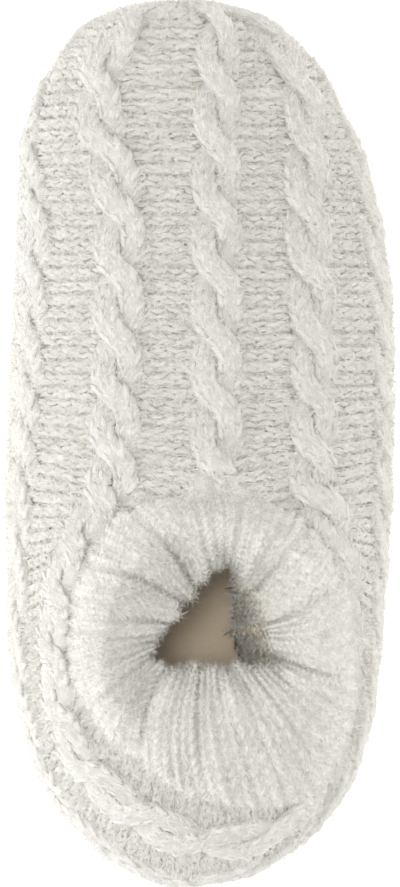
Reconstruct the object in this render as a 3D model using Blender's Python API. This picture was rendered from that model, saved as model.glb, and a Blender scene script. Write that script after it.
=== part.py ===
"""Slipper sock: a hollow cable-knit upper on a soft flat sole, with a gathered rib cuff and a padded insole.

Metres, +Z up, toe towards +Y, the wearer looking along +Y. The floor is z = 0.
"""

import math

import bmesh
import bpy
import numpy as np
from mathutils import Vector

# Foot
LENGTH = 0.248  # heel to toe over the knit
BALL_WIDTH = 0.1065  # across the widest line, between the raised cables
INSTEP_HEIGHT = 0.064  # floor to the knit in front of the cuff
SIDE_HEIGHT = 0.024  # floor to the widest line of the knit
WALL = 0.0035  # knit and lining together
TUCK = 0.009  # how far the knit turns in below its widest line
DOME = 2.3  # roundness of a cross section: 2 is an ellipse

# Sole and insole
SOLE_THICKNESS = 0.005
SOLE_EDGE = 0.003  # the sole shows this far outside the knit's lower edge
SOLE_ROUND = 0.0015
ARCH_RISE = 0.0015
TOE_SPRING = 0.004
INSOLE_THICKNESS = 0.004
INSOLE_ROUND = 0.001
CLEARANCE = 0.0003  # between touching pieces
SEAT_CLEARANCE = 0.0005  # between the cuff and the curved knit under it

# Cables
CABLE_RAISE = 0.0022
CABLE_WIDTH = 0.0135
CABLE_PITCH = 0.0177  # from one crossing to the next
CABLE_CROSSING = 0.012  # one crossing lies here, forward of the middle
CABLE_WAIST = 0.4  # share of the height lost at a crossing
CABLE_START = 0.003  # plain knit between the cuff and the cables
CABLE_FADE = 0.005  # the cables rise over this length beside the cuff and behind the toe
HEEL_ROW_STRETCH = 1.12  # rows lie this much wider apart round the heel's outline
CENTRE_CABLE = 0.0044  # the middle cable lies this far right of the middle
TOE_FAN_RATIO = 0.36  # 0 lets the cables run together at the toe, 1 sends them to its sides

# Cuff
CUFF_REACH = 0.040  # middle of the mouth to the outer edge
CUFF_LEFT_RIGHT = 0.0034  # middle of the mouth, right of the middle
CUFF_BACK = 0.0514  # middle of the mouth, behind the middle
CUFF_TOP = 0.076  # floor to the crest
CUFF_BAND = 0.006  # doubled rib
CUFF_LAP = 0.005  # the cuff covers this much of the knit's edge
COLLAR_PEAK = 0.0015  # the collar's opening is a little pointed at its front
ROW_SWEEP = 0.012  # beside the collar's front the rows of knit reach this far forward at the sides
MOUTH_REACH = 0.014
MOUTH_DEPTH = 0.012  # the crest to the narrowest place of the mouth
LIP_LENGTH = 0.004  # plain edge below the narrowest place
RIB_DEPTH = 0.0018

# Shares of the foot's sizes by distance from the heel. The half width is of half BALL_WIDTH, the
# drift is the section's shift to the right in the same share, and the top is of the rise from the
# widest line to INSTEP_HEIGHT.
FOOT = (
    # along, half_width, drift, top
    (0.000, 0.000, -0.050, 0.000),
    (0.020, 0.370, -0.035, 0.420),
    (0.050, 0.560, -0.020, 0.620),
    (0.100, 0.765, -0.020, 0.800),
    (0.155, 0.875, -0.020, 0.920),
    (0.210, 0.935, -0.025, 0.970),
    (0.270, 0.970, -0.030, 1.000),
    (0.360, 0.985, -0.015, 1.000),
    (0.460, 1.000, -0.010, 0.990),
    (0.560, 0.995, 0.005, 0.930),
    (0.640, 0.982, 0.015, 0.860),
    (0.720, 0.955, 0.005, 0.775),
    (0.790, 0.912, -0.020, 0.700),
    (0.850, 0.850, -0.055, 0.630),
    (0.900, 0.752, -0.075, 0.550),
    (0.940, 0.640, -0.080, 0.460),
    (0.972, 0.480, -0.095, 0.340),
    (1.000, 0.000, -0.120, 0.000),
)

# The sole's underside by distance from the heel: it lifts by these shares of ARCH_RISE and TOE_SPRING.
UNDERSIDE = (
    # along, arch, spring
    (0.00, 0.0, 0.0),
    (0.34, 0.0, 0.0),
    (0.45, 1.0, 0.0),
    (0.56, 0.0, 0.0),
    (0.84, 0.0, 0.0),
    (0.92, 0.0, 0.3),
    (1.00, 0.0, 1.0),
)

# Where the cables run, as a share of the knit from the middle cable (0) to the widest line (1).
CABLES_LEFT = (0.0, 0.32, 0.73)
CABLES_RIGHT = (0.0, 0.37, 0.83)
# Across one cable, in shares of its width and height.
CABLE_SECTION = ((-0.50, 0.0), (-0.24, 1.0), (0.24, 1.0), (0.50, 0.0))
# Below the widest line: the share of the way round to the sole, and the height of the low cable there.
UNDER_LEVELS = ((0.0, 0.0), (0.24, 1.0), (0.66, 1.0), (1.0, 0.0))

# The cuff by direction from the middle of the mouth, in degrees from the right side round by the toe.
# The reaches are shares of CUFF_REACH and MOUTH_REACH, and the crest is a share of CUFF_TOP.
CUFF = (
    # degrees, outer, mouth, crest
    (0.0, 0.940, 0.90, 1.000),
    (22.0, 0.940, 0.98, 0.990),
    (50.0, 0.970, 1.02, 0.975),
    (80.0, 0.945, 1.26, 0.965),
    (105.0, 0.970, 0.88, 0.965),
    (130.0, 1.000, 0.74, 0.975),
    (155.0, 0.950, 0.74, 0.985),
    (180.0, 0.950, 0.90, 0.995),
    (203.0, 0.985, 1.28, 1.000),
    (222.0, 1.005, 1.08, 1.000),
    (240.0, 1.010, 0.80, 1.000),
    (270.0, 1.170, 0.71, 0.995),
    (300.0, 1.300, 0.80, 0.990),
    (320.0, 1.180, 1.10, 0.995),
    (337.0, 1.040, 1.33, 1.000),
)

# The grooves between the ribs, in the same degrees, at the mouth and at the outer edge.
GROOVES = (
    # at_mouth, at_edge
    (4.0, 22.0),
    (42.0, 48.0),
    (74.0, 79.0),
    (92.0, 99.0),
    (112.0, 124.0),
    (138.0, 152.0),
    (172.0, 174.0),
    (191.0, 193.0),
    (208.0, 213.0),
    (228.0, 243.0),
    (256.0, 270.0),
    (284.0, 290.0),
    (310.0, 310.0),
    (329.0, 333.0),
    (348.0, 357.0),
)
RIB_STEPS = 5


def smooth_curve(places, values):
    """A curve through the values that never swings past them."""
    places, values = np.asarray(places, float), np.asarray(values, float)
    step = np.diff(places)
    slope = np.diff(values) / step
    tangent = np.zeros_like(values)
    same_way = slope[:-1] * slope[1:] > 0
    before, after = 2 * step[1:] + step[:-1], step[1:] + 2 * step[:-1]
    safe = np.where(same_way, slope[:-1] * slope[1:], 1.0)
    mean = (before + after) * safe / (before * slope[1:] + after * slope[:-1] + 1e-12 * ~same_way)
    tangent[1:-1] = np.where(same_way, mean, 0.0)
    tangent[0], tangent[-1] = slope[0], slope[-1]

    def curve(at):
        at = np.clip(np.asarray(at, float), places[0], places[-1])
        i = np.clip(np.searchsorted(places, at) - 1, 0, len(step) - 1)
        u = (at - places[i]) / step[i]
        rest = 1 - u
        return (
            values[i] * rest * rest * (1 + 2 * u)
            + values[i + 1] * u * u * (3 - 2 * u)
            + step[i] * u * rest * (tangent[i] * rest - tangent[i + 1] * u)
        )

    return curve


def round_curve(degrees, values):
    """The same, closed round the full turn."""
    degrees = list(degrees)
    turned = [d - 360 for d in degrees] + degrees + [d + 360 for d in degrees]
    curve = smooth_curve(turned, list(values) * 3)
    return lambda angle: curve(np.mod(np.degrees(angle), 360))


ALONG, HALF_WIDTH, DRIFT, TOP = (np.array(column) for column in zip(*FOOT))
width_squared = smooth_curve(ALONG, (HALF_WIDTH * BALL_WIDTH / 2) ** 2)
rise_squared = smooth_curve(ALONG, (TOP * (INSTEP_HEIGHT - SIDE_HEIGHT)) ** 2)
drift_curve = smooth_curve(ALONG, DRIFT * BALL_WIDTH / 2)
underside_along, underside_arch, underside_spring = zip(*UNDERSIDE)
arch_curve = smooth_curve(underside_along, underside_arch)
spring_curve = smooth_curve(underside_along, underside_spring)
cuff_degrees, cuff_outer, cuff_mouth, cuff_crest = zip(*CUFF)
outer_curve = round_curve(cuff_degrees, cuff_outer)
mouth_curve = round_curve(cuff_degrees, cuff_mouth)
crest_curve = round_curve(cuff_degrees, cuff_crest)


def share_along(y):
    return np.clip(np.asarray(y, float) / LENGTH + 0.5, 0.0, 1.0)


def half_width(y):
    return np.sqrt(width_squared(share_along(y)))


def section_middle(y):
    return drift_curve(share_along(y))


def underside(y):
    """Height of the sole's underside."""
    along = share_along(y)
    return ARCH_RISE * arch_curve(along) + TOE_SPRING * spring_curve(along)


def widest_height(y):
    return SIDE_HEIGHT + underside(y)


def knit_height(x, y):
    """Height of the plain knit above its widest line."""
    across = np.abs(x - section_middle(y)) / np.maximum(half_width(y), 1e-6)
    rise = np.sqrt(rise_squared(share_along(y)))
    return widest_height(y) + rise * np.sqrt(np.clip(1 - across**DOME, 0.0, 1.0))


def cuff_place(angle, reach):
    return CUFF_LEFT_RIGHT + reach * np.cos(angle), reach * np.sin(angle) - CUFF_BACK


def beyond_cuff(x, y):
    """Distance outside the cuff's outer edge, seen from above."""
    right, forward = x - CUFF_LEFT_RIGHT, y + CUFF_BACK
    return np.hypot(right, forward) - CUFF_REACH * outer_curve(np.arctan2(forward, right))


def walk(points, shares):
    """Places along a path of plan points, by shares of its length."""
    lengths = np.hypot(*np.diff(points, axis=0).T)
    total = np.concatenate([[0.0], np.cumsum(lengths)])
    at = np.asarray(shares) * total[-1]
    return np.stack([np.interp(at, total, points[:, 0]), np.interp(at, total, points[:, 1])], axis=1)


def collar_path(side):
    """The collar's opening in the knit, from its front round one side to its back."""
    turn = np.linspace(0.0, math.pi, 181)
    angle = math.pi / 2 - side * turn
    peak = COLLAR_PEAK * np.clip(1 - turn / 0.25, 0.0, 1.0)
    return np.stack(cuff_place(angle, CUFF_REACH * outer_curve(angle) - CUFF_LAP + peak), axis=1)


def outline_path(side, front):
    """The widest line from beside the collar's front round to the middle of the heel."""
    turn = np.linspace(0.0, math.pi / 2, 200)
    y = -LENGTH / 2 + (front + ROW_SWEEP + LENGTH / 2) * (1 - np.sin(turn))
    return np.stack([section_middle(y) + side * half_width(y), y], axis=1)


def heel_row_count(front):
    """Rows from the collar's front round to the heel, alike on both sides."""
    paths = [outline_path(side, front) for side in (-1, 1)]
    length = sum(np.hypot(*np.diff(path, axis=0).T).sum() for path in paths) / 2
    return max(6, round(length / (HEEL_ROW_STRETCH * CABLE_PITCH / 3)))


def toe_rows(front):
    """Rows ahead of the collar, as (y, at a crossing): three to a cable crossing, and closer at the toe."""
    step = CABLE_PITCH / 3
    last = math.floor((LENGTH / 2 - CABLE_CROSSING) / step)
    first = math.ceil((front - CABLE_CROSSING) / step + 0.4)
    ends = [LENGTH / 2 - LENGTH * share for share in (0.034, 0.015, 0.004)]
    rows = [(CABLE_CROSSING + step * i, i % 3 == 0) for i in range(first, last + 1)]
    return [row for row in rows if row[0] < ends[0] - 0.4 * step] + [(y, False) for y in ends]


def column_shares(cables, knit_across):
    """Columns from the middle cable outwards, as (share, raise): four across each cable."""
    columns = [(0.0, 1.0)]
    for centre in cables:
        if centre > 0.0:
            start = centre + CABLE_SECTION[0][0] * CABLE_WIDTH / knit_across
            columns.append(((columns[-1][0] + start) / 2, 0.0))
        for across, raised in CABLE_SECTION:
            share = centre + across * CABLE_WIDTH / knit_across
            if share > 0.0:
                columns.append((min(share, 0.99), raised))
    return np.array(columns + [(1.0, 0.0)])


def row_line(start, end, full, shares):
    """Plan points of a row, from its start in the middle or at the collar out to the widest line."""
    start, end = np.asarray(start, float), np.asarray(end, float)
    lean = math.asin(min(1.0, max(0.0, 1 - np.linalg.norm(end - start) / full)))
    turn = lean + (math.pi / 2 - lean) * shares
    ease = (np.sin(turn) - math.sin(lean)) / (1 - math.sin(lean))
    return start + (end - start) * ease[:, None]


class Skin:
    """The knit's middle surface with, at each point, how far the cables raise it."""

    def __init__(self):
        self.points, self.raises, self.faces, self.lower_edge = [], [], [], []

    def add(self, point, raised=0.0):
        self.points.append(point)
        self.raises.append(raised)
        return len(self.points) - 1


def cable_height(x, y, crossing):
    """How far a full cable stands up here: lower at a crossing, gone under the cuff and at the toe's tip."""
    waist = 1 - CABLE_WAIST * crossing
    outside = min(1.0, max(0.0, (float(beyond_cuff(x, y)) - CABLE_START) / CABLE_FADE))
    to_toe = min(1.0, (LENGTH / 2 - y) / CABLE_FADE)
    return CABLE_RAISE * waist * outside * to_toe


def near_toe(y):
    """0 over most of the foot, rising to 1 where the toe is round."""
    share = np.clip((share_along(y) - 0.74) / 0.19, 0.0, 1.0)
    return share * share * (3 - 2 * share)


def side_rows(side):
    """The rows of one side from the heel to the toe, each as its plan points and crossing."""
    columns = {-1: CABLES_LEFT, 1: CABLES_RIGHT}
    half = BALL_WIDTH / 2
    own = column_shares(columns[side], half * (1.4 + side * -0.07))[:, 0]
    other = column_shares(columns[-side], half * (1.4 + side * 0.07))[:, 0]
    collar, front = collar_path(side), float(collar_path(side)[0, 1])
    outline = outline_path(side, front)
    shares = np.linspace(1.0, 0.0, heel_row_count(front) + 1)
    rows = []
    for i, (start, end) in enumerate(zip(walk(collar, shares), walk(outline, shares))):
        mix = 0.5 * shares[i] ** 2
        rows.append((row_line(start, end, half, own * (1 - mix) + other * mix), i % 3 == 0))
    for y, crossing in toe_rows(front):
        settle = min(1.0, (y - front) / CABLE_PITCH)
        middle = CUFF_LEFT_RIGHT + (CENTRE_CABLE - CUFF_LEFT_RIGHT) * settle
        limit = 0.5 * half_width(y)
        middle = np.clip(middle, section_middle(y) - limit, section_middle(y) + limit)
        sweep = ROW_SWEEP * max(0.0, 1 - (y - front) / (3 * CABLE_PITCH)) ** 2
        end = (section_middle(y + sweep) + side * half_width(y + sweep), y + sweep)
        spread = 1 - TOE_FAN_RATIO * near_toe(y)
        rows.append((row_line((middle, y), end, np.linalg.norm(middle - end[0]), own**spread), crossing))
    return rows


def knit_skin():
    """One sheet from the collar's opening over the foot and round under to the sole."""
    skin = Skin()
    shares, raises = column_shares(CABLES_LEFT, BALL_WIDTH / 2).T
    side_cable = (CABLES_LEFT[-1] + CABLES_LEFT[-2]) / 2
    sides = {}
    for side in (-1, 1):
        laid = []
        for number, (places, crossing) in enumerate(side_rows(side)):
            row = []
            for i, (x, y) in enumerate(places):
                shared = side == 1 and (number == 0 or (i == 0 and places[0, 1] > collar_path(1)[0, 1] - 1e-9))
                if shared:
                    row.append(sides[-1][number][i])
                    continue
                last = i == len(places) - 1
                z = float(widest_height(y) if last else knit_height(x, y))
                full = raises[i] * cable_height(x, y, crossing)
                sinks = float(near_toe(y)) if shares[i] > side_cable else 0.0
                row.append(skin.add((x, y, z), full * (1 - sinks)))
            laid.append(row)
        sides[side] = laid
    left_rows, right_rows = sides[-1], sides[1]
    tip_x = float(section_middle(LENGTH / 2))
    toe = skin.add((tip_x, LENGTH / 2, float(widest_height(LENGTH / 2))))

    for rows, order in ((left_rows, 1), (right_rows, -1)):
        for behind, ahead in zip(rows[:-1], rows[1:]):
            for i in range(len(behind) - 1):
                skin.faces.append((behind[i], ahead[i], ahead[i + 1], behind[i + 1])[::order])
        for i in range(len(rows[-1]) - 1):
            skin.faces.append((rows[-1][i + 1], rows[-1][i], toe)[::order])

    outline = [row[-1] for row in left_rows] + [toe] + [row[-1] for row in right_rows[:0:-1]]
    crossings = [crossing for _, crossing in side_rows(-1)]
    crossings += [False] + [crossing for _, crossing in side_rows(1)[:0:-1]]
    plan = foot_outline()
    inward = inward_normals(plan)
    above = outline
    for turn, raised in UNDER_LEVELS[1:]:
        angle = turn * math.pi / 2
        loop = []
        for (x, y), (nx, ny), crossing in zip(plan, inward, crossings):
            high = float(widest_height(y))
            low = float(underside(y)) + SOLE_THICKNESS + CLEARANCE
            inset = TUCK * (1 - math.cos(angle))
            z = high - (high - low) * math.sin(angle)
            place = (x + nx * inset, y + ny * inset, z)
            loop.append(skin.add(place, raised * cable_height(x, y, crossing)))
        count = len(outline)
        for i in range(count):
            n = (i + 1) % count
            skin.faces.append((above[i], above[n], loop[n], loop[i]))
        above = loop
    skin.lower_edge = above
    return skin


def foot_outline():
    """The widest line seen from above, clockwise from the heel by the left side and the toe."""
    left = [places[-1] for places, _ in side_rows(-1)]
    right = [places[-1] for places, _ in side_rows(1)]
    toe = np.array([section_middle(LENGTH / 2), LENGTH / 2])
    return np.array(left + [toe] + right[:0:-1])


def inward_normals(plan):
    """Unit normals of a closed plan outline, which runs clockwise seen from above."""
    along = np.roll(plan, -1, axis=0) - np.roll(plan, 1, axis=0)
    normal = np.stack([along[:, 1], -along[:, 0]], axis=1)
    return normal / np.linalg.norm(normal, axis=1)[:, None]


def new_object(name, mesh_data, finish):
    mesh = bpy.data.meshes.new(name)
    mesh_data.to_mesh(mesh)
    mesh_data.free()
    mesh.shade_smooth()
    mesh.set_sharp_from_angle(angle=math.radians(50))
    material = bpy.data.materials.new(name + "_finish")
    material.use_nodes = True
    shader = material.node_tree.nodes["Principled BSDF"]
    colour, roughness = finish
    shader.inputs["Base Color"].default_value = (*colour, 1.0)
    shader.inputs["Roughness"].default_value = roughness
    shader.inputs["Metallic"].default_value = 0.0
    mesh.materials.append(material)
    made = bpy.data.objects.new(name, mesh)
    bpy.context.scene.collection.objects.link(made)
    return made


def make_upper():
    """The hollow knit: the skin raised at its cables outside, and a smooth lining a wall's width inside."""
    skin = knit_skin()
    sheet = bmesh.new()
    verts = [sheet.verts.new(p) for p in skin.points]
    for face in skin.faces:
        sheet.faces.new([verts[i] for i in face])
    sheet.normal_update()
    normals = [v.normal.copy() for v in verts]
    for i in skin.lower_edge:
        normals[i] = Vector((0.0, 0.0, -1.0))
    rim = [e for e in sheet.edges if e.is_boundary]
    inner = [sheet.verts.new(v.co - n * WALL) for v, n in zip(verts, normals)]
    for vert, normal, raised in zip(verts, normals, skin.raises):
        vert.co += normal * raised
    partner = dict(zip(verts, inner))
    for edge in rim:
        first = edge.link_loops[0].vert
        other = edge.other_vert(first)
        sheet.faces.new((other, first, partner[first], partner[other]))
    for face in skin.faces:
        sheet.faces.new([inner[i] for i in reversed(face)])
    return new_object("upper", sheet, ((0.69, 0.66, 0.58), 0.95))


def cuff_section(angle_mouth, angle_edge, raised):
    """One slice of the cuff, from the outer edge over the crest into the mouth and back underneath."""
    outer = CUFF_REACH * float(outer_curve(angle_edge))
    mouth = MOUTH_REACH * float(mouth_curve(angle_mouth))
    top = CUFF_TOP * float(crest_curve((angle_edge + angle_mouth) / 2))
    crest = (outer + mouth) / 2
    seat_x, seat_y = cuff_place(angle_edge, outer)
    seat = float(knit_height(seat_x, seat_y)) + SEAT_CLEARANCE
    groove = RIB_DEPTH * (1 - raised)
    slices = []
    for side, turns in (("outer", (90, 66, 42, 20, 0)), ("mouth", (24, 48, 72, 90))):
        for turn in turns:
            lean = math.radians(turn)
            if side == "outer":
                reach = crest + (outer - groove - crest) * math.sin(lean)
                height = seat + (top - groove - seat) * math.cos(lean)
            else:
                reach = crest - (crest - mouth - groove) * math.sin(lean)
                height = top - groove - MOUTH_DEPTH * (1 - math.cos(lean))
            slices.append((reach, height))
    low = top - MOUTH_DEPTH - LIP_LENGTH
    slices += [(mouth + groove, low), (mouth + CUFF_BAND, low)]
    for turn in (90, 55, 25):
        lean = math.radians(turn)
        reach = crest - (crest - mouth - CUFF_BAND) * math.sin(lean)
        slices.append((reach, top - CUFF_BAND - (MOUTH_DEPTH - CUFF_BAND) * (1 - math.cos(lean))))
    for turn in (0, 35, 65, 90):
        lean = math.radians(turn)
        reach = crest + (outer - CUFF_BAND - crest) * math.sin(lean)
        slices.append((reach, seat + (top - CUFF_BAND - seat) * math.cos(lean)))
    ring = []
    for reach, height in slices:
        share = (reach - mouth) / (outer - mouth)
        angle = angle_mouth + (angle_edge - angle_mouth) * min(1.0, max(0.0, share))
        x, y = cuff_place(angle, reach)
        ring.append([float(x), float(y), height])
    for end in (0, -1):
        x, y, _ = ring[end]
        ring[end][2] = float(knit_height(x, y)) + SEAT_CLEARANCE
    return ring


def make_cuff():
    """The rib band: doubled, gathered to a narrow mouth at the top, and sewn over the collar's edge."""
    sheet = bmesh.new()
    rings = []
    count = len(GROOVES)
    for i, (mouth_degrees, edge_degrees) in enumerate(GROOVES):
        next_mouth, next_edge = GROOVES[(i + 1) % count]
        for step in range(RIB_STEPS):
            share = step / RIB_STEPS
            at_mouth = math.radians(mouth_degrees + ((next_mouth - mouth_degrees) % 360) * share)
            at_edge = math.radians(edge_degrees + ((next_edge - edge_degrees) % 360) * share)
            raised = math.sqrt(math.sin(math.pi * share))
            rings.append([sheet.verts.new(p) for p in cuff_section(at_mouth, at_edge, raised)])
    size = len(rings[0])
    for ring, following in zip(rings, rings[1:] + rings[:1]):
        for i in range(size):
            n = (i + 1) % size
            sheet.faces.new((ring[i], following[i], following[n], ring[n]))
    bmesh.ops.recalc_face_normals(sheet, faces=sheet.faces)
    return new_object("cuff", sheet, ((0.72, 0.69, 0.61), 0.95))


def make_slab(name, inset, rounding, bottom, thickness, finish):
    """A soft pad with rounded edges whose underside follows the sole."""
    sheet = bmesh.new()
    levels = (
        (rounding, 0.0),
        (0.0, rounding),
        (0.0, thickness - rounding),
        (rounding, thickness),
    )
    outline = foot_outline()
    inward = inward_normals(outline)
    loops = []
    for edge, height in levels:
        loop = []
        for x, y in outline + inward * (inset + edge):
            z = bottom + height + float(underside(y))
            loop.append(sheet.verts.new((float(x), float(y), z)))
        loops.append(loop)
    count = len(loops[0])
    half = count // 2
    for low, high in zip(loops[:-1], loops[1:]):
        for i in range(count):
            n = (i + 1) % count
            sheet.faces.new((low[i], high[i], high[n], low[n]))
    for loop, order in ((loops[0], 1), (loops[-1], -1)):
        left = loop[: half + 1]
        right = [loop[0]] + loop[:half:-1] + [loop[half]]
        sheet.faces.new((left[0], left[1], right[1])[::order])
        for i in range(1, half - 1):
            sheet.faces.new((left[i], left[i + 1], right[i + 1], right[i])[::order])
        sheet.faces.new((left[half - 1], left[half], right[half - 1])[::order])
    bmesh.ops.recalc_face_normals(sheet, faces=sheet.faces)
    return new_object(name, sheet, finish)


def stand_over_origin(pieces):
    """Hold the pieces on an empty that puts the middle of the upper's box over the origin."""
    spots = np.array([v.co for v in pieces[0].data.vertices])
    middle = (spots.min(axis=0) + spots.max(axis=0)) / 2
    stand = bpy.data.objects.new("slipper_sock", None)
    stand.location = (-float(middle[0]), -float(middle[1]), 0.0)
    bpy.context.scene.collection.objects.link(stand)
    for piece in pieces:
        piece.parent = stand


for old in list(bpy.data.objects):
    bpy.data.objects.remove(old, do_unlink=True)

upper = make_upper()
cuff = make_cuff()
sole_finish = ((0.60, 0.56, 0.48), 0.9)
sole = make_slab("sole", TUCK - SOLE_EDGE, SOLE_ROUND, 0.0, SOLE_THICKNESS, sole_finish)
insole = make_slab(
    "insole",
    TUCK + CLEARANCE,
    INSOLE_ROUND,
    SOLE_THICKNESS + CLEARANCE,
    INSOLE_THICKNESS,
    ((0.36, 0.30, 0.23), 0.9),
)
stand_over_origin([upper, cuff, sole, insole])
bpy.context.view_layer.update()
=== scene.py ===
"""The looks of a cable-knit slipper sock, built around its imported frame. Metres, +Z up, toe towards +Y."""

import math

import bmesh
import bpy
import numpy as np
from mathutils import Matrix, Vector


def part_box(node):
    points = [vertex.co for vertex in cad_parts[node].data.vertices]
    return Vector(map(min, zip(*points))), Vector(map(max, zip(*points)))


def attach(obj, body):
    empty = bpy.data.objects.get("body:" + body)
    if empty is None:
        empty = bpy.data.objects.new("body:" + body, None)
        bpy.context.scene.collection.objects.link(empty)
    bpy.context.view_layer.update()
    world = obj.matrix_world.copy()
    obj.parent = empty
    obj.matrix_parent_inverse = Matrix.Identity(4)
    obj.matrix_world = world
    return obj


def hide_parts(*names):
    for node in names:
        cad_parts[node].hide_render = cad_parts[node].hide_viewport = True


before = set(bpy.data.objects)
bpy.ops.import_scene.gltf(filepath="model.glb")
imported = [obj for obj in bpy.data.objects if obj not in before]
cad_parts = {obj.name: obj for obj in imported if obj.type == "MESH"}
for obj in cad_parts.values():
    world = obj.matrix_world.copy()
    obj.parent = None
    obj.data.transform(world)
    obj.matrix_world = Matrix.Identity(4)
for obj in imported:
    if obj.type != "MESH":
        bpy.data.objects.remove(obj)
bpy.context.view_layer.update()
scene = bpy.context.scene
MM = 0.001


# Camera
# The slipper is seen from straight above with its toe at the top of a tall picture. A long lens
# keeps its outline flat, and the outline reaches the picture's edges.
PICTURE_LENGTH = 251 * MM  # what the picture's height covers at the knit's widest line
WIDEST_LINE = 24 * MM
CAMERA_HEIGHT = 1.4
SENSOR = 36.0

camera_data = bpy.data.cameras.new("camera")
camera_data.sensor_width = SENSOR
camera_data.lens = SENSOR * (CAMERA_HEIGHT - WIDEST_LINE) / PICTURE_LENGTH
camera_data.clip_start, camera_data.clip_end = 0.05, 20.0
camera = bpy.data.objects.new("camera", camera_data)
camera.location = (0.0002, 0.0005, CAMERA_HEIGHT)
scene.collection.objects.link(camera)
scene.camera = camera
scene.view_settings.view_transform = "Standard"


# Studio
# A white room: an even pale sky, a soft lamp close over the camera, broad low lamps on the left and,
# weaker, on the right, and a white floor that glows, so that the slipper has hardly any shadow.
def lamp(name, place, size, power, colour):
    data = bpy.data.lights.new(name, "AREA")
    data.shape, data.size, data.energy, data.color = "DISK", size, power, colour
    made = bpy.data.objects.new(name, data)
    made.location = place
    made.rotation_euler = (-Vector(place)).to_track_quat("-Z", "Y").to_euler()
    scene.collection.objects.link(made)


lamp("top_lamp", (-0.12, 0.06, 1.6), 0.45, 8.5, (1.0, 0.995, 0.985))
lamp("left_lamp", (-1.1, -0.25, 0.55), 0.9, 7.5, (0.965, 0.98, 1.0))
lamp("right_lamp", (1.1, 0.1, 0.45), 0.9, 3.0, (1.0, 0.995, 0.985))
sky = bpy.data.worlds.new("sky")
sky.use_nodes = True
sky.node_tree.nodes["Background"].inputs["Color"].default_value = (1.0, 0.995, 0.985, 1.0)
sky.node_tree.nodes["Background"].inputs["Strength"].default_value = 0.53
scene.world = sky


def node_in(tree, kind, inputs, **settings):
    """A new node with its settings, and its inputs as values or as links from other nodes' sockets."""
    made = tree.nodes.new(kind)
    for label, value in settings.items():
        setattr(made, label, value)
    for label, value in inputs.items():
        if isinstance(value, bpy.types.NodeSocket):
            tree.links.new(value, made.inputs[label])
        else:
            made.inputs[label].default_value = value
    return made


def finish_of(name, colour, roughness):
    """A new material with its shader and node tree."""
    made = bpy.data.materials.new(name)
    made.use_nodes = True
    shader = made.node_tree.nodes["Principled BSDF"]
    shader.inputs["Base Color"].default_value = (*colour, 1.0)
    shader.inputs["Roughness"].default_value = roughness
    return made, shader, made.node_tree


floor_mesh = bpy.data.meshes.new("floor")
floor_mesh.from_pydata([(-4, -4, 0), (4, -4, 0), (4, 4, 0), (-4, 4, 0)], [], [(0, 1, 2, 3)])
floor = bpy.data.objects.new("floor", floor_mesh)
floor.location.z = -0.2 * MM
scene.collection.objects.link(floor)
floor_finish, floor_shader, _ = finish_of("white_floor", (0.94, 0.94, 0.935), 0.7)
floor_shader.inputs["Emission Color"].default_value = (1.0, 1.0, 1.0, 1.0)
floor_shader.inputs["Emission Strength"].default_value = 0.9
floor_mesh.materials.append(floor_finish)


# The foot's form
# The knit follows one rounded form: its plan outline, its height along the foot and the way it turns
# in to the sole. Wales run from the collar out to the widest line, rows run along the foot.
LENGTH, BALL_WIDTH, INSTEP_HEIGHT, SIDE_HEIGHT = 248 * MM, 106.5 * MM, 64 * MM, 24 * MM
TUCK, SOLE_THICKNESS, ARCH_RISE, TOE_SPRING, DOME = 9 * MM, 5 * MM, 1.5 * MM, 4 * MM, 2.3
CUFF_REACH, CUFF_RIGHT, CUFF_BACK, CUFF_TOP, CUFF_LAP = 40 * MM, 3.4 * MM, 51.4 * MM, 76 * MM, 5 * MM
CENTRE_WALE, ROW_SWEEP, TOE_FAN = 4.4 * MM, 12 * MM, 0.36
CABLE_PITCH = 17.7 * MM  # from one crossing of a cable to the next
HEEL_RUN = 130 * MM  # length of the knit from the collar's front round one side to the heel
UNDER_SHARE = 0.3  # the knit below the widest line, in the shares that measure the knit above it

FOOT = (
    # along, half_width, drift, top
    (0.000, 0.000, -0.050, 0.000),
    (0.020, 0.370, -0.035, 0.420),
    (0.050, 0.560, -0.020, 0.620),
    (0.100, 0.765, -0.020, 0.800),
    (0.155, 0.875, -0.020, 0.920),
    (0.210, 0.935, -0.025, 0.970),
    (0.270, 0.970, -0.030, 1.000),
    (0.360, 0.985, -0.015, 1.000),
    (0.460, 1.000, -0.010, 0.990),
    (0.560, 0.995, 0.005, 0.930),
    (0.640, 0.982, 0.015, 0.860),
    (0.720, 0.955, 0.005, 0.775),
    (0.790, 0.912, -0.020, 0.700),
    (0.850, 0.850, -0.055, 0.630),
    (0.900, 0.752, -0.075, 0.550),
    (0.940, 0.640, -0.080, 0.460),
    (0.972, 0.480, -0.095, 0.340),
    (1.000, 0.000, -0.120, 0.000),
)
UNDERSIDE = (
    # along, arch, spring
    (0.00, 0.0, 0.0),
    (0.34, 0.0, 0.0),
    (0.45, 1.0, 0.0),
    (0.56, 0.0, 0.0),
    (0.84, 0.0, 0.0),
    (0.92, 0.0, 0.3),
    (1.00, 0.0, 1.0),
)
CUFF = (
    # degrees, outer, mouth, crest
    (0.0, 0.940, 0.97, 1.000),
    (22.0, 0.940, 0.98, 0.990),
    (50.0, 0.970, 1.02, 0.975),
    (80.0, 0.945, 1.26, 0.965),
    (105.0, 0.970, 0.88, 0.965),
    (130.0, 1.000, 0.74, 0.975),
    (155.0, 0.950, 0.74, 0.985),
    (180.0, 0.950, 0.90, 0.995),
    (203.0, 0.985, 1.28, 1.000),
    (222.0, 1.005, 1.08, 1.000),
    (240.0, 1.010, 0.80, 1.000),
    (270.0, 1.170, 0.71, 0.995),
    (300.0, 1.300, 0.80, 0.990),
    (320.0, 1.180, 1.10, 0.995),
    (337.0, 1.040, 1.41, 1.000),
)


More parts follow.
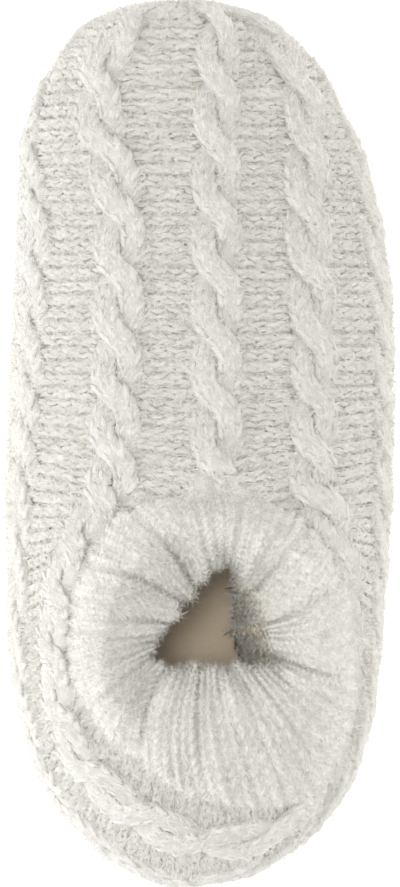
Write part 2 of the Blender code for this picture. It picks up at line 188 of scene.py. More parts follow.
def smooth_curve(places, values):
    """A curve through the values that never swings past them."""
    places, values = np.asarray(places, float), np.asarray(values, float)
    step = np.diff(places)
    slope = np.diff(values) / step
    tangent = np.zeros_like(values)
    same_way = slope[:-1] * slope[1:] > 0
    before, after = 2 * step[1:] + step[:-1], step[1:] + 2 * step[:-1]
    safe = np.where(same_way, slope[:-1] * slope[1:], 1.0)
    mean = (before + after) * safe / (before * slope[1:] + after * slope[:-1] + 1e-12 * ~same_way)
    tangent[1:-1] = np.where(same_way, mean, 0.0)
    tangent[0], tangent[-1] = slope[0], slope[-1]

    def curve(at):
        at = np.clip(np.asarray(at, float), places[0], places[-1])
        i = np.clip(np.searchsorted(places, at) - 1, 0, len(step) - 1)
        u = (at - places[i]) / step[i]
        rest = 1 - u
        return (
            values[i] * rest * rest * (1 + 2 * u)
            + values[i + 1] * u * u * (3 - 2 * u)
            + step[i] * u * rest * (tangent[i] * rest - tangent[i + 1] * u)
        )

    return curve


def round_curve(degrees, values):
    """The same, closed round the full turn."""
    degrees = list(degrees)
    turned = [d - 360 for d in degrees] + degrees + [d + 360 for d in degrees]
    curve = smooth_curve(turned, list(values) * 3)
    return lambda angle: curve(np.mod(np.degrees(angle), 360))


along_foot, foot_width, foot_drift, foot_top = (np.array(column) for column in zip(*FOOT))
width_squared = smooth_curve(along_foot, (foot_width * BALL_WIDTH / 2) ** 2)
rise_squared = smooth_curve(along_foot, (foot_top * (INSTEP_HEIGHT - SIDE_HEIGHT)) ** 2)
drift_curve = smooth_curve(along_foot, foot_drift * BALL_WIDTH / 2)
under_along, under_arch, under_spring = zip(*UNDERSIDE)
arch_curve, spring_curve = smooth_curve(under_along, under_arch), smooth_curve(under_along, under_spring)
cuff_degrees, cuff_outer, cuff_mouth, cuff_crest = zip(*CUFF)
outer_curve = round_curve(cuff_degrees, cuff_outer)
mouth_curve = round_curve(cuff_degrees, cuff_mouth)
crest_curve = round_curve(cuff_degrees, cuff_crest)


def share_along(y):
    return np.clip(np.asarray(y, float) / LENGTH + 0.5, 0.0, 1.0)


def half_width(y):
    return np.sqrt(np.maximum(width_squared(share_along(y)), 0.0))


def section_middle(y):
    return drift_curve(share_along(y))


def underside(y):
    return ARCH_RISE * arch_curve(share_along(y)) + TOE_SPRING * spring_curve(share_along(y))


def widest_height(y):
    return SIDE_HEIGHT + underside(y)


def knit_height(x, y):
    across = np.abs(x - section_middle(y)) / np.maximum(half_width(y), 1e-6)
    rise = np.sqrt(np.maximum(rise_squared(share_along(y)), 0.0))
    return widest_height(y) + rise * np.sqrt(np.clip(1 - across**DOME, 0.0, 1.0))


def cuff_place(angle, reach):
    return CUFF_RIGHT + reach * np.cos(angle), reach * np.sin(angle) - CUFF_BACK


def beyond_cuff(x, y):
    right, forward = x - CUFF_RIGHT, y + CUFF_BACK
    return np.hypot(right, forward) - CUFF_REACH * outer_curve(np.arctan2(forward, right))


def collar_place(side, share):
    """A place on the knit's edge under the cuff, by share from the front round to the back."""
    angle = math.pi / 2 - side * math.pi * np.asarray(share)
    return np.stack(cuff_place(angle, CUFF_REACH * outer_curve(angle) - CUFF_LAP), axis=-1)


COLLAR_FRONT = float(collar_place(1, 0.0)[1])
side_tables = {}
for side in (-1, 1):
    turn = np.linspace(0.0, math.pi / 2, 400)
    y = -LENGTH / 2 + (COLLAR_FRONT + ROW_SWEEP + LENGTH / 2) * (1 - np.sin(turn))
    x = section_middle(y) + side * half_width(y)
    walked = np.concatenate([[0.0], np.cumsum(np.hypot(np.diff(x), np.diff(y)))])
    side_tables[side] = (walked / walked[-1], x, y)


def outline_place(side, row):
    """The widest line beside a row. Rows are measured forward from the collar's front."""
    share, x, y = side_tables[side]
    back = np.clip(-row / HEEL_RUN, 0.0, 1.0)
    ahead = np.clip(row, 0.0, None)
    sweep = ROW_SWEEP * np.clip(1 - ahead / (3 * CABLE_PITCH), 0.0, 1.0) ** 2
    front_y = np.minimum(COLLAR_FRONT + ahead + sweep, LENGTH / 2)
    front = np.stack([section_middle(front_y) + side * half_width(front_y), front_y], axis=-1)
    rear = np.stack([np.interp(back, share, x), np.interp(back, share, y)], axis=-1)
    return np.where((row < 0)[..., None], rear, front)


def near_toe(y):
    share = np.clip((share_along(y) - 0.74) / 0.19, 0.0, 1.0)
    return share * share * (3 - 2 * share)


def skin(side, row, share):
    """Places on the plain knit. The share is 0 at the collar or the middle wale and 1 at the widest line."""
    row, share = np.broadcast_arrays(np.asarray(row, float), np.asarray(share, float))
    ahead = np.clip(row, 0.0, None)
    y = np.minimum(COLLAR_FRONT + ahead, LENGTH / 2)
    settle = np.minimum(1.0, ahead / CABLE_PITCH)
    middle = CUFF_RIGHT + (CENTRE_WALE - CUFF_RIGHT) * settle
    limit = 0.5 * half_width(y)
    middle = np.clip(middle, section_middle(y) - limit, section_middle(y) + limit)
    start = np.where((row < 0)[..., None], collar_place(side, -row / HEEL_RUN), np.stack([middle, y], -1))
    end = outline_place(side, row)
    reach = np.linalg.norm(end - start, axis=-1)
    full = np.where(row < 0, BALL_WIDTH / 2, np.maximum(reach, 1e-6))
    lean = np.arcsin(np.clip(1 - reach / full, 0.0, 1.0))
    above = np.clip(share, 0.0, 1.0) ** (1 - TOE_FAN * near_toe(y) * (row > 0))
    turn = lean + (math.pi / 2 - lean) * above
    ease = (np.sin(turn) - np.sin(lean)) / np.maximum(1 - np.sin(lean), 1e-9)
    plan = start + (end - start) * ease[..., None]
    low_turn = np.clip((share - 1) / UNDER_SHARE, 0.0, 1.0) * math.pi / 2
    step = 0.5 * MM
    run = outline_place(side, row + step) - outline_place(side, row - step)
    inward = np.stack([run[..., 1], -run[..., 0]], -1) * -side
    inward /= np.maximum(np.linalg.norm(inward, axis=-1), 1e-9)[..., None]
    under = share > 1.0
    plan = np.where(under[..., None], end + inward * (TUCK * (1 - np.cos(low_turn)))[..., None], plan)
    high = widest_height(end[..., 1])
    low = underside(end[..., 1]) + SOLE_THICKNESS + 0.3 * MM
    z = np.where(under, high - (high - low) * np.sin(low_turn), knit_height(plan[..., 0], plan[..., 1]))
    return np.concatenate([plan, z[..., None]], axis=-1) + STAND


# The part stands with its box over the origin, so the form moves by what the sole's place says.
outline_y = np.linspace(-LENGTH / 2, LENGTH / 2, 2000)
outline_middle = (
    (section_middle(outline_y) - half_width(outline_y)).min()
    + (section_middle(outline_y) + half_width(outline_y)).max()
) / 2
sole_low, sole_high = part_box("sole")
STAND = np.array([(sole_low[0] + sole_high[0]) / 2 - outline_middle, (sole_low[1] + sole_high[1]) / 2, 0.0])


def skin_frames(side, row, share):
    """Places with their right, forward and outward directions, and how far a row and a share step reach."""
    row, share = np.broadcast_arrays(np.asarray(row, float), np.asarray(share, float))
    place = skin(side, row, share)
    d_row, d_share = 0.4 * MM, 0.006
    forward = (skin(side, row + d_row, share) - skin(side, row - d_row, share)) / (2 * d_row)
    across = (skin(side, row, share + d_share) - skin(side, row, share - d_share)) / (2 * d_share)
    across_reach = np.maximum(np.linalg.norm(across, axis=-1), 1e-6)
    row_reach = np.linalg.norm(forward, axis=-1)
    right = across * side / across_reach[..., None]
    out = np.cross(right, forward)
    out /= np.maximum(np.linalg.norm(out, axis=-1), 1e-9)[..., None]
    return place, right, np.cross(out, right), out, row_reach, across_reach


# Yarn
# Brushed wool-like yarn in oatmeal with paler and greyer fibres through it. It is matt, with a soft sheen
# at grazing angles and fine fibres across its surface.
def yarn_finish(name, pale, grey, bump=0.5):
    made, shader, tree = finish_of(name, pale, 0.95)
    shader.inputs["Sheen Weight"].default_value = 0.2
    shader.inputs["Sheen Roughness"].default_value = 0.6
    shader.inputs["Specular IOR Level"].default_value = 0.1
    place = node_in(tree, "ShaderNodeTexCoord", {}).outputs["Object"]
    heather = node_in(tree, "ShaderNodeTexNoise", {"Vector": place, "Scale": 420.0, "Detail": 4.0})
    shade = node_in(tree, "ShaderNodeAttribute", {}, attribute_name="shade")
    mixed = {0: shade.outputs["Fac"], 1: 0.6, 2: heather.outputs["Fac"]}
    blend = node_in(tree, "ShaderNodeMath", mixed, operation="MULTIPLY_ADD")
    ramp = node_in(tree, "ShaderNodeValToRGB", {"Fac": blend.outputs[0]})
    ramp.color_ramp.elements[0].position, ramp.color_ramp.elements[0].color = 0.35, (*grey, 1.0)
    ramp.color_ramp.elements[1].position, ramp.color_ramp.elements[1].color = 0.95, (*pale, 1.0)
    tree.links.new(ramp.outputs["Color"], shader.inputs["Base Color"])
    if bump:
        fibre = node_in(tree, "ShaderNodeTexNoise", {"Vector": place, "Scale": 1900.0, "Detail": 3.0})
        height = {"Strength": bump, "Distance": 0.3 * MM, "Height": fibre.outputs["Fac"]}
        relief = node_in(tree, "ShaderNodeBump", height)
        tree.links.new(relief.outputs["Normal"], shader.inputs["Normal"])
    return made


knit_yarn = yarn_finish("purl_yarn", (0.88, 0.865, 0.80), (0.72, 0.70, 0.63))
cable_yarn = yarn_finish("cable_yarn", (0.82, 0.805, 0.765), (0.66, 0.645, 0.605))
rib_yarn = yarn_finish("rib_yarn", (0.83, 0.815, 0.775), (0.68, 0.665, 0.62))
halo_yarn = yarn_finish("halo_yarn", (0.94, 0.93, 0.89), (0.64, 0.625, 0.58), bump=0.0)


def new_piece(name, mesh_data, finish):
    """A finished piece of the slipper from a mesh in the making."""
    if isinstance(mesh_data, bmesh.types.BMesh):
        mesh = bpy.data.meshes.new(name)
        mesh_data.to_mesh(mesh)
        mesh_data.free()
    else:
        mesh = mesh_data
    mesh.name = name
    mesh.materials.clear()
    mesh.materials.append(finish)
    mesh.shade_smooth()
    made = bpy.data.objects.new(name, mesh)
    scene.collection.objects.link(made)
    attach(made, "root")
    return made


def swept(rings, closed_ends=True):
    """A mesh from rings of points, each joined to the next, with the ends closed by fans."""
    made = bmesh.new()
    laid = [[made.verts.new(p) for p in ring] for ring in rings]
    count = len(laid[0])
    for low, high in zip(laid[:-1], laid[1:]):
        for i in range(count):
            n = (i + 1) % count
            made.faces.new((low[i], low[n], high[n], high[i]))
    if closed_ends:
        made.faces.new(laid[0][::-1])
        made.faces.new(laid[-1])
    bmesh.ops.recalc_face_normals(made, faces=made.faces)
    return made


def stitch_shape(name, path, widths, sides=5):
    """One loop of yarn as a short bent tube, in units of the stitch's own width and height."""
    path = np.asarray(path, float)
    runs = np.gradient(path, axis=0)
    runs /= np.linalg.norm(runs, axis=1)[:, None]
    rings = []
    for point, run, width in zip(path, runs, widths):
        aside = np.cross(run, (0.0, 0.0, 1.0))
        aside /= np.linalg.norm(aside)
        lift = np.cross(aside, run)
        turns = [2 * math.pi * i / sides for i in range(sides)]
        rings.append([point + width * (aside * math.cos(t) + lift * math.sin(t)) for t in turns])
    mesh = bpy.data.meshes.new(name)
    made = swept(rings)
    made.to_mesh(mesh)
    made.free()
    mesh.shade_smooth()
    shape = bpy.data.objects.new(name, mesh)
    scene.collection.objects.link(shape)
    return shape


def stitch_tree(name):
    """A node tree that lays one stitch at each point, turned and sized by the point's own values."""
    tree = bpy.data.node_groups.new(name, "GeometryNodeTree")
    face = tree.interface
    face.new_socket("Geometry", in_out="INPUT", socket_type="NodeSocketGeometry")
    face.new_socket("Geometry", in_out="OUTPUT", socket_type="NodeSocketGeometry")
    for label, kind in (
        ("Stitch", "NodeSocketObject"),
        ("Yarn", "NodeSocketMaterial"),
        ("Unevenness", "NodeSocketFloat"),
        ("Lean", "NodeSocketFloat"),
        ("Seed", "NodeSocketInt"),
    ):
        face.new_socket(label, in_out="INPUT", socket_type=kind)
    given, result = tree.nodes.new("NodeGroupInput"), tree.nodes.new("NodeGroupOutput")
    shape = node_in(tree, "GeometryNodeObjectInfo", {"Object": given.outputs["Stitch"]})

    def vector(label):
        kind = "GeometryNodeInputNamedAttribute"
        return node_in(tree, kind, {"Name": label}, data_type="FLOAT_VECTOR").outputs["Attribute"]

    def spread(centre, amount, seed_shift):
        """A random value for each stitch, the amount either side of the centre."""
        ends = {0: centre, 1: amount}
        low = node_in(tree, "ShaderNodeMath", ends, operation="SUBTRACT").outputs[0]
        high = node_in(tree, "ShaderNodeMath", ends, operation="ADD").outputs[0]
        shifted = {0: given.outputs["Seed"], 1: seed_shift}
        seed = node_in(tree, "ShaderNodeMath", shifted, operation="ADD").outputs[0]
        kind = "FunctionNodeRandomValue"
        return node_in(tree, kind, {2: low, 3: high, "Seed": seed}, data_type="FLOAT").outputs[1]

    turn = node_in(tree, "FunctionNodeEulerToRotation", {0: vector("turn")}).outputs[0]
    lean = given.outputs["Lean"]
    leans = {axis: spread(0.0, lean, shift) for axis, shift in (("X", 1), ("Y", 2), ("Z", 3))}
    tilt = node_in(tree, "ShaderNodeCombineXYZ", leans).outputs[0]
    tilted = node_in(tree, "FunctionNodeEulerToRotation", {0: tilt}).outputs[0]
    both = node_in(tree, "FunctionNodeRotateRotation", {0: turn, 1: tilted}, rotation_space="LOCAL")
    grown = {0: vector("size"), "Scale": spread(1.0, given.outputs["Unevenness"], 4)}
    placed = {
        "Points": given.outputs["Geometry"],
        "Instance": shape.outputs["Geometry"],
        "Rotation": both.outputs[0],
        "Scale": node_in(tree, "ShaderNodeVectorMath", grown, operation="SCALE").outputs[0],
    }
    lay = node_in(tree, "GeometryNodeInstanceOnPoints", placed)
    real = node_in(tree, "GeometryNodeRealizeInstances", {"Geometry": lay.outputs["Instances"]})
    dyed = {"Geometry": real.outputs["Geometry"], "Material": given.outputs["Yarn"]}
    dye = node_in(tree, "GeometryNodeSetMaterial", dyed)
    tree.links.new(dye.outputs["Geometry"], result.inputs["Geometry"])
    return tree


knit_tree = stitch_tree("lay_stitches")
SHADE_SEED = 1000  # keeps the shades of stitches apart from the draws that place hairs


class Stitches:
    """Where stitches of one kind lie: their places, directions, sizes, and whether the yarn runs across."""

    def __init__(self, runs_across=False):
        self.parts = []
        self.runs_across = runs_across

    def add(self, place, right, forward, out, width, length, depth):
        count = len(place)
        size = np.stack([np.broadcast_to(np.asarray(v, float), count) for v in (width, length, depth)], 1)
        self.parts.append((place, right, forward, out, size))

    def joined(self):
        return [np.concatenate(column) for column in zip(*self.parts)]

    def lay(self, name, shape, finish, unevenness, lean, seed):
        """All of them as one mesh."""
        place, right, forward, out, size = self.joined()
        cloud = bpy.data.meshes.new(name + "_points")
        cloud.from_pydata([tuple(p) for p in place], [], [])
        about_x = np.arctan2(forward[:, 2], out[:, 2])
        about_y = np.arcsin(np.clip(-right[:, 2], -1.0, 1.0))
        turns = np.stack([about_x, about_y, np.arctan2(right[:, 1], right[:, 0])], axis=1)
        for label, values in (("turn", turns), ("size", size)):
            held = cloud.attributes.new(label, "FLOAT_VECTOR", "POINT")
            held.data.foreach_set("vector", values.astype(np.float32).ravel())
        shade = cloud.attributes.new("shade", "FLOAT", "POINT")
        shades = np.random.default_rng(seed + SHADE_SEED).random(len(place))
        shade.data.foreach_set("value", shades.astype(np.float32))
        holder = bpy.data.objects.new(name + "_points", cloud)
        scene.collection.objects.link(holder)
        nodes = holder.modifiers.new("lay", "NODES")
        nodes.node_group = knit_tree
        wanted = {"Stitch": shape, "Yarn": finish, "Unevenness": unevenness, "Lean": lean, "Seed": seed}
        for item in knit_tree.interface.items_tree:
            if item.in_out == "INPUT" and item.name in wanted:
                nodes[item.identifier] = wanted[item.name]
        bpy.context.view_layer.update()
        seen = holder.evaluated_get(bpy.context.evaluated_depsgraph_get())
        mesh = bpy.data.meshes.new_from_object(seen)
        bpy.data.objects.remove(holder, do_unlink=True)
        for label in ("turn", "size"):
            if label in mesh.attributes:
                mesh.attributes.remove(mesh.attributes[label])
        return mesh


# Upper: the purl ground
# Between the cables the foot is knitted in reverse stitch: every row shows as two lines of small
# interlocking arcs, one curved to the toe and one to the heel, over a plain backing.
ROW_HEIGHT = 3.7 * MM
CABLE_WIDTH, CABLE_CROSSING = 14.2 * MM, 12 * MM
CABLES = {-1: (0.0, 0.32, 0.75, 1.135), 1: (0.0, 0.37, 0.83, 1.14)}
FIELD_WALES = {-1: (3, 4, 4, 2), 1: (3, 4, 3, 2)}
FULL_ACROSS = 62 * MM  # from the middle wale to the widest line where the foot is fullest
NARROWEST_WALE = 2.5 * MM
ARC_BULGE, GROUND_SINK, BACKING_DEPTH = 0.26, 1.0 * MM, 1.2 * MM
ARC_LENGTHS, ARC_DEPTHS = (2.2 * MM, 4.6 * MM), (2.8 * MM, 3.6 * MM)  # least and most
HEEL_FELT, HEEL_FELT_RUN = -20 * MM, 40 * MM  # behind this line the knit is more and more matted
HEEL_FLATTENING = 0.45  # share of its relief that the matted knit has lost
TOE_END = LENGTH / 2 - COLLAR_FRONT
SHARE_MARKS = np.concatenate([np.linspace(0, 1, 50), np.linspace(1, 1 + UNDER_SHARE, 16)[1:]])


def across_walk(side, row):
    """How far each share mark lies from the middle wale or the collar, along one row."""
    line = skin(side, row, SHARE_MARKS)
    return np.concatenate([[0.0], np.cumsum(np.linalg.norm(np.diff(line, axis=0), axis=1))])


def even_rows(side, share_of, step, start=-HEEL_RUN):
    """Rows at even steps along a line of the knit, from the heel or the collar to the tip of the toe."""
    marks = start + (TOE_END - start) * (1 - (1 - np.linspace(0, 1, 1500)) ** 2)
    line = skin(side, marks, share_of(marks))
    walked = np.concatenate([[0.0], np.cumsum(np.linalg.norm(np.diff(line, axis=0), axis=1))])
    count = int(walked[-1] / step)
    return np.interp((np.arange(count) + 0.5) * walked[-1] / count, walked, marks)


def cable_share(side, number, row):
    """Where a cable runs. Both sides meet round the heel, and the outer cable slips under the toe."""
    row = np.asarray(row, float)
    own, other = CABLES[side][number], CABLES[-side][number]
    mix = 0.5 * np.clip(-row / HEEL_RUN, 0.0, 1.0) ** 2
    share = own * (1 - mix) + other * mix
    if number == 2:
        share = share + (1.04 - share) * near_toe(COLLAR_FRONT + row) * (row > 0)
    return share


def drawn_in(across):
    """How much narrower a cable is where the knit is drawn in."""
    return np.sqrt(np.clip(across / FULL_ACROSS, 0.4, 1.06))


arc_turn = np.linspace(-0.5, 0.5, 5)
arc_rise = np.cos(math.pi * arc_turn)
arc_path = np.stack([1.06 * arc_turn, ARC_BULGE * arc_rise, 0.30 * arc_rise - 0.04], axis=1)
arc_shape = stitch_shape("purl_arc", arc_path, (0.13, 0.21, 0.23, 0.21, 0.13))

arcs = Stitches(runs_across=True)


def field_edges(side, field, row):
    """The shares at both edges of a purl field, and its width, on one row."""
    walk = across_walk(side, row)
    half = 0.43 * CABLE_WIDTH * drawn_in(walk[-1] / (1 + UNDER_SHARE))
    middles = [np.interp(cable_share(side, n, row), SHARE_MARKS, walk) for n in range(4)]
    high = walk[-1] if field == 3 else middles[field + 1] - half
    return walk, middles[field] + half, high


def heel_felt(place):
    """How matted the knit is, from 0 over the foot to 1 round the heel."""
    return np.clip((HEEL_FELT - place[:, 1]) / HEEL_FELT_RUN, 0.0, 1.0)


for side, field in [(s, f) for s in (-1, 1) for f in range(4)]:
    last_share = 1 + UNDER_SHARE if field == 3 else None

    def field_middle(row):
        return (cable_share(side, field, row) + (last_share or cable_share(side, field + 1, row))) / 2

    own_rows = even_rows(side, field_middle, ROW_HEIGHT)
    found = []
    for row, row_step in zip(own_rows, np.gradient(own_rows)):
        for heading in (1, -1):
            at_row = min(row + (0.5 - ARC_BULGE) / 2 * heading * row_step, TOE_END - 0.01 * MM)
            walk, low, high = field_edges(side, field, at_row)
            wales = min(FIELD_WALES[side][field], int((high - low) / NARROWEST_WALE))
            if wales < 1:
                continue
            offsets = np.arange(wales) + 0.5 if heading > 0 else np.arange(wales + 1)
            for at in low + (high - low) * offsets / wales:
                share = np.interp(at, walk, SHARE_MARKS)
                found.append((at_row, share, heading, (high - low) / wales, row_step))
    at_row, share, heading, width, row_step = np.array(found).T
    place, right, forward, out, row_reach, _ = skin_frames(side, at_row, share)
    length = row_reach * row_step
    plan = place - STAND
    matted = 1 - HEEL_FLATTENING * heel_felt(place)
    keep = ((at_row > 0) | (beyond_cuff(plan[:, 0], plan[:, 1]) > -2.0 * MM)) & (length > 1.0 * MM)
    arcs.add(
        (place - out * GROUND_SINK)[keep],
        (right * heading[:, None])[keep],
        (forward * heading[:, None])[keep],
        out[keep],
        width[keep],
        np.clip(length[keep], *ARC_LENGTHS),
        (np.clip(length, *ARC_DEPTHS) * matted)[keep],
    )
purl_mesh = arcs.lay("purl", arc_shape, knit_yarn, 0.12, 0.13, 3)


def skin_sheet(row_at, share_at, depth):
    """A sheet over the whole foot at a depth below the knit's middle, open at the collar and the sole."""
    made = bmesh.new()
    grids = {}
    for side in (-1, 1):
        r, s = np.meshgrid(row_at, share_at, indexing="ij")
        place, _, _, out, _, _ = skin_frames(side, r, s)
        place = place - out * depth
        grids[side] = [[None] * len(share_at) for _ in row_at]
        for i, row in enumerate(row_at):
            for j in range(len(share_at)):
                meets = side == 1 and (i == 0 or (j == 0 and row >= 0) or i == len(row_at) - 1)
                if meets:
                    vert = grids[-1][i][j]
                    if i not in (0, len(row_at) - 1) or j == 0:
                        vert.co = (vert.co + Vector(place[i, j])) / 2
                    grids[side][i][j] = vert
                else:
                    grids[side][i][j] = made.verts.new(place[i, j])
        for i in range(len(row_at) - 1):
            for j in range(len(share_at) - 1):
                g = grids[side]
                corners = (g[i][j], g[i][j + 1], g[i + 1][j + 1], g[i + 1][j])
                if len(set(corners)) == 4:
                    made.faces.new(corners if side == 1 else corners[::-1])
    return made


toeward = TOE_END * (1 - (1 - np.linspace(0, 1, 76)) ** 2)
sheet_rows = np.concatenate([np.linspace(-HEEL_RUN, 0, 56), toeward[1:]])
sheet_shares = np.concatenate([np.linspace(0, 1, 30), np.linspace(1, 1 + UNDER_SHARE, 9)[1:]])
backing = skin_sheet(sheet_rows, sheet_shares, BACKING_DEPTH)
backing_mesh = bpy.data.meshes.new("backing")
backing.to_mesh(backing_mesh)
backing.free()
joined = bmesh.new()
joined.from_mesh(purl_mesh)
joined.from_mesh(backing_mesh)
ground = new_piece("knit_ground", joined, knit_yarn)
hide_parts("upper")


# Upper: the cables
# Five cables run over the foot and two lower ones beside the sole. Each is two plump strands of two
# wales, and at each crossing the strand from the left passes over to the right.
STRAND_SWING, STRAND_LIFT, STRAND_DROP, CABLE_BASE = 3.65 * MM, 1.2 * MM, 1.3 * MM, 0.1 * MM
STRAND_HALF_WIDTH, STRAND_HALF_HEIGHT = 3.7 * MM, 1.8 * MM
SIDE_SINK = {-1: 0.6 * MM, 1: 0.9 * MM}  # the outer cables are pressed in
SWING_SHARPNESS = 1.6
TUCKED_BY, TUCK_RUN, TOE_RUN = 1.4 * MM, 7 * MM, 6 * MM  # strands sink at the cuff and at the toe's tip
LEG_SINK, LEG_DEPTH = 0.62 * MM, 1.25 * MM
HIDDEN_BELOW = -0.75  # a strand this far under the other one carries no stitches
WALE_OFFSET, LEG_OFFSET, LEG_SPREAD, LEG_WIDTH = 1.76 * MM, 0.85 * MM, 0.28, 2.15 * MM

leg_turn = np.linspace(-0.5, 0.5, 4)
leg_path = [(0.10 * math.sin(2 * math.pi * t), 1.42 * t, -1.1 * t * t + 0.1) for t in leg_turn]
leg_shape = stitch_shape("knit_leg", leg_path, (0.14, 0.5, 0.5, 0.14), sides=4)

legs, strands = Stitches(), []
width_rows = np.linspace(-HEEL_RUN, TOE_END, 140)
widths = {side: np.array([across_walk(side, row)[-1] for row in width_rows]) for side in (-1, 1)}


def strand_place(side, number, which, row):
    """The middle of one strand of a cable, its directions, its slope and whether it lies on top."""
    share = np.maximum(cable_share(side, number, row), 1e-3)
    place, right, forward, out, row_reach, _ = skin_frames(side, row, share)
    drawn = drawn_in(np.interp(row, width_rows, widths[side]) / (1 + UNDER_SHARE))
    turn = math.pi * ((COLLAR_FRONT + row - CABLE_CROSSING) / CABLE_PITCH + 0.5 + which)
    swing = np.tanh(SWING_SHARPNESS * np.cos(turn)) / math.tanh(SWING_SHARPNESS)
    top = np.sin(turn)
    matted = 1 - HEEL_FLATTENING * heel_felt(place)
    weave = np.where(top > 0, STRAND_LIFT * top, STRAND_DROP * top) * matted
    lift = CABLE_BASE - SIDE_SINK[side] * (number > 1) + weave
    plan = place - STAND
    tucked = np.clip(beyond_cuff(plan[:, 0], plan[:, 1]) / TUCK_RUN, 0.0, 1.0)
    ends_at_toe = np.clip((TOE_END - row) / TOE_RUN, 0.0, 1.0) if number < 2 else 1.0
    shown = np.minimum(tucked, ends_at_toe)
    lift = lift * shown - TUCKED_BY * (1 - shown)
    swung = STRAND_SWING * swing * drawn
    moved = place + right * swung[:, None] + out * lift[:, None]
    slope = np.gradient(swung) / np.maximum(np.gradient(row) * row_reach, 1e-6)
    lean = np.arctan(slope)[:, None]
    across = right * np.cos(lean) - forward * np.sin(lean)
    along = forward * np.cos(lean) + right * np.sin(lean)
    bare = (top > HIDDEN_BELOW) & (beyond_cuff(plan[:, 0], plan[:, 1]) > -3 * MM)
    length = row_reach * np.gradient(row) / np.cos(lean[:, 0])
    return moved, across, along, out, drawn, length, bare


for side, number, which in [(s, n, w) for s in (-1, 1) for n in range(4) for w in (0, 1)]:
    if number == 0 and side == -1:
        continue
    starts_at = 1 * MM if number == 0 else -HEEL_RUN
    share_of = lambda r: np.maximum(cable_share(side, number, r), 1e-3)
    fine = np.concatenate([[starts_at], even_rows(side, share_of, 1.9 * MM, starts_at), [TOE_END]])
    middle, across, along, out, drawn, length, bare = strand_place(side, number, which, fine)
    turns = np.linspace(0, 2 * math.pi, 11)[:-1]
    rings = []
    for m, a, o, d in zip(middle, across * STRAND_HALF_WIDTH, out * STRAND_HALF_HEIGHT, drawn):
        rings.append([m + a * d * math.cos(t) + o * math.sin(t) for t in turns])
    strands.append(rings)
    own = even_rows(side, share_of, ROW_HEIGHT, starts_at)
    middle, across, along, out, drawn, length, bare = strand_place(side, number, which, own)
    for wale, leg in ((-1, -1), (-1, 1), (1, -1), (1, 1)):
        offset = wale * WALE_OFFSET + leg * LEG_OFFSET
        roll = 0.85 * math.asin(offset / STRAND_HALF_WIDTH / 1.05)
        place = middle + across * (offset * drawn)[:, None]
        place = place + out * (STRAND_HALF_HEIGHT * math.cos(roll) - LEG_SINK)
        tipped = out * math.cos(roll) + across * math.sin(roll)
        aside = across * math.cos(roll) - out * math.sin(roll)
        leg_along = along * math.cos(leg * LEG_SPREAD) + aside * math.sin(leg * LEG_SPREAD)
        leg_across = aside * math.cos(leg * LEG_SPREAD) - along * math.sin(leg * LEG_SPREAD)
        legs.add(
            place[bare],
            leg_across[bare],
            leg_along[bare],
            tipped[bare],
            LEG_WIDTH * drawn[bare],
            np.clip(length[bare], 1.5 * MM, 5 * MM),
            LEG_DEPTH,
        )
cable_mesh = legs.lay("cable_legs", leg_shape, cable_yarn, 0.09, 0.09, 5)
strand_tubes = bmesh.new()
for rings in strands:
    tube = swept(rings)
    tube_mesh = bpy.data.meshes.new("strand")
    tube.to_mesh(tube_mesh)
    tube.free()
    strand_tubes.from_mesh(tube_mesh)
    bpy.data.meshes.remove(tube_mesh)
strand_tubes.from_mesh(cable_mesh)
cables = new_piece("knit_cables", strand_tubes, cable_yarn)


# Cuff
# A doubled rib band, gathered by its elastic to a small mouth. The ribs run up from its edge, over
# the crest and down into the mouth, with narrow grooves between them.
MOUTH_REACH, MOUTH_DEPTH, LIP_LENGTH = 14.6 * MM, 12 * MM, 8 * MM
BAND_BODY = 4.4 * MM  # the doubled band without its stitches
RIB_DEPTH, WALE_DEPTH, LUMPS, OVERHANG = 2.7 * MM, 0.6 * MM, 0.6 * MM, 3.5 * MM
TUCKED_CLIMB = 0.12  # up to this climb the band's edge is turned under
PLUMPNESS, CREST_SINK, SEAT_SINK, EDGE_CURL = 0.6 * MM, 1.4 * MM, 0.4 * MM, 1.3
MERGE_MIDDLE, MERGE_WIDTH = math.radians(88), math.radians(38)  # there the cuff runs into the instep
INNER_FOLD = 6.2 * MM  # the mouth's right side slopes in to a fold this far from the cuff's middle
INNER_STEEPNESS, MOST_SLOPE = 2.4, 12 * MM
FOLD_ENDS = (-29, -22)  # degrees; below these the mouth's lower edge passes over the fold
FOLD_SLIP = 0.15  # how far the fold slips back under that edge, for each length that it slopes in
MOUTH_EDGE, LIP_END = 1.75, 2.35  # climbs at the mouth's edge and at the end of the wall below it
CREST = (
    # degrees, share of the way from the mouth to the edge
    (0.0, 0.56),
    (22.0, 0.70),
    (60.0, 0.60),
    (90.0, 0.48),
    (122.0, 0.62),
    (180.0, 0.64),
    (228.0, 0.64),
    (252.0, 0.50),
    (290.0, 0.32),
    (320.0, 0.36),
    (342.0, 0.46),
)
crest_degrees, crest_shares = zip(*CREST)
crest_place = round_curve(crest_degrees, crest_shares)
GROOVES = (
    # at_mouth, at_edge, depth
    (5.0, 21.0, 0.85),
    (42.0, 48.0, 0.90),
    (74.0, 79.0, 0.35),
    (92.0, 99.0, 0.35),
    (112.0, 124.0, 1.05),
    (138.0, 152.0, 0.90),
    (172.0, 174.0, 0.55),
    (191.0, 193.0, 0.30),
    (204.0, 214.0, 0.35),
    (219.0, 243.0, 1.05),
    (236.0, 257.0, 0.30),
    (253.0, 270.0, 0.60),
    (276.0, 281.0, 0.25),
    (297.0, 293.0, 0.25),
    (314.0, 306.0, 0.25),
    (327.0, 322.0, 0.30),
    (338.0, 340.0, 0.90),
    (353.0, 361.0, 0.20),
)
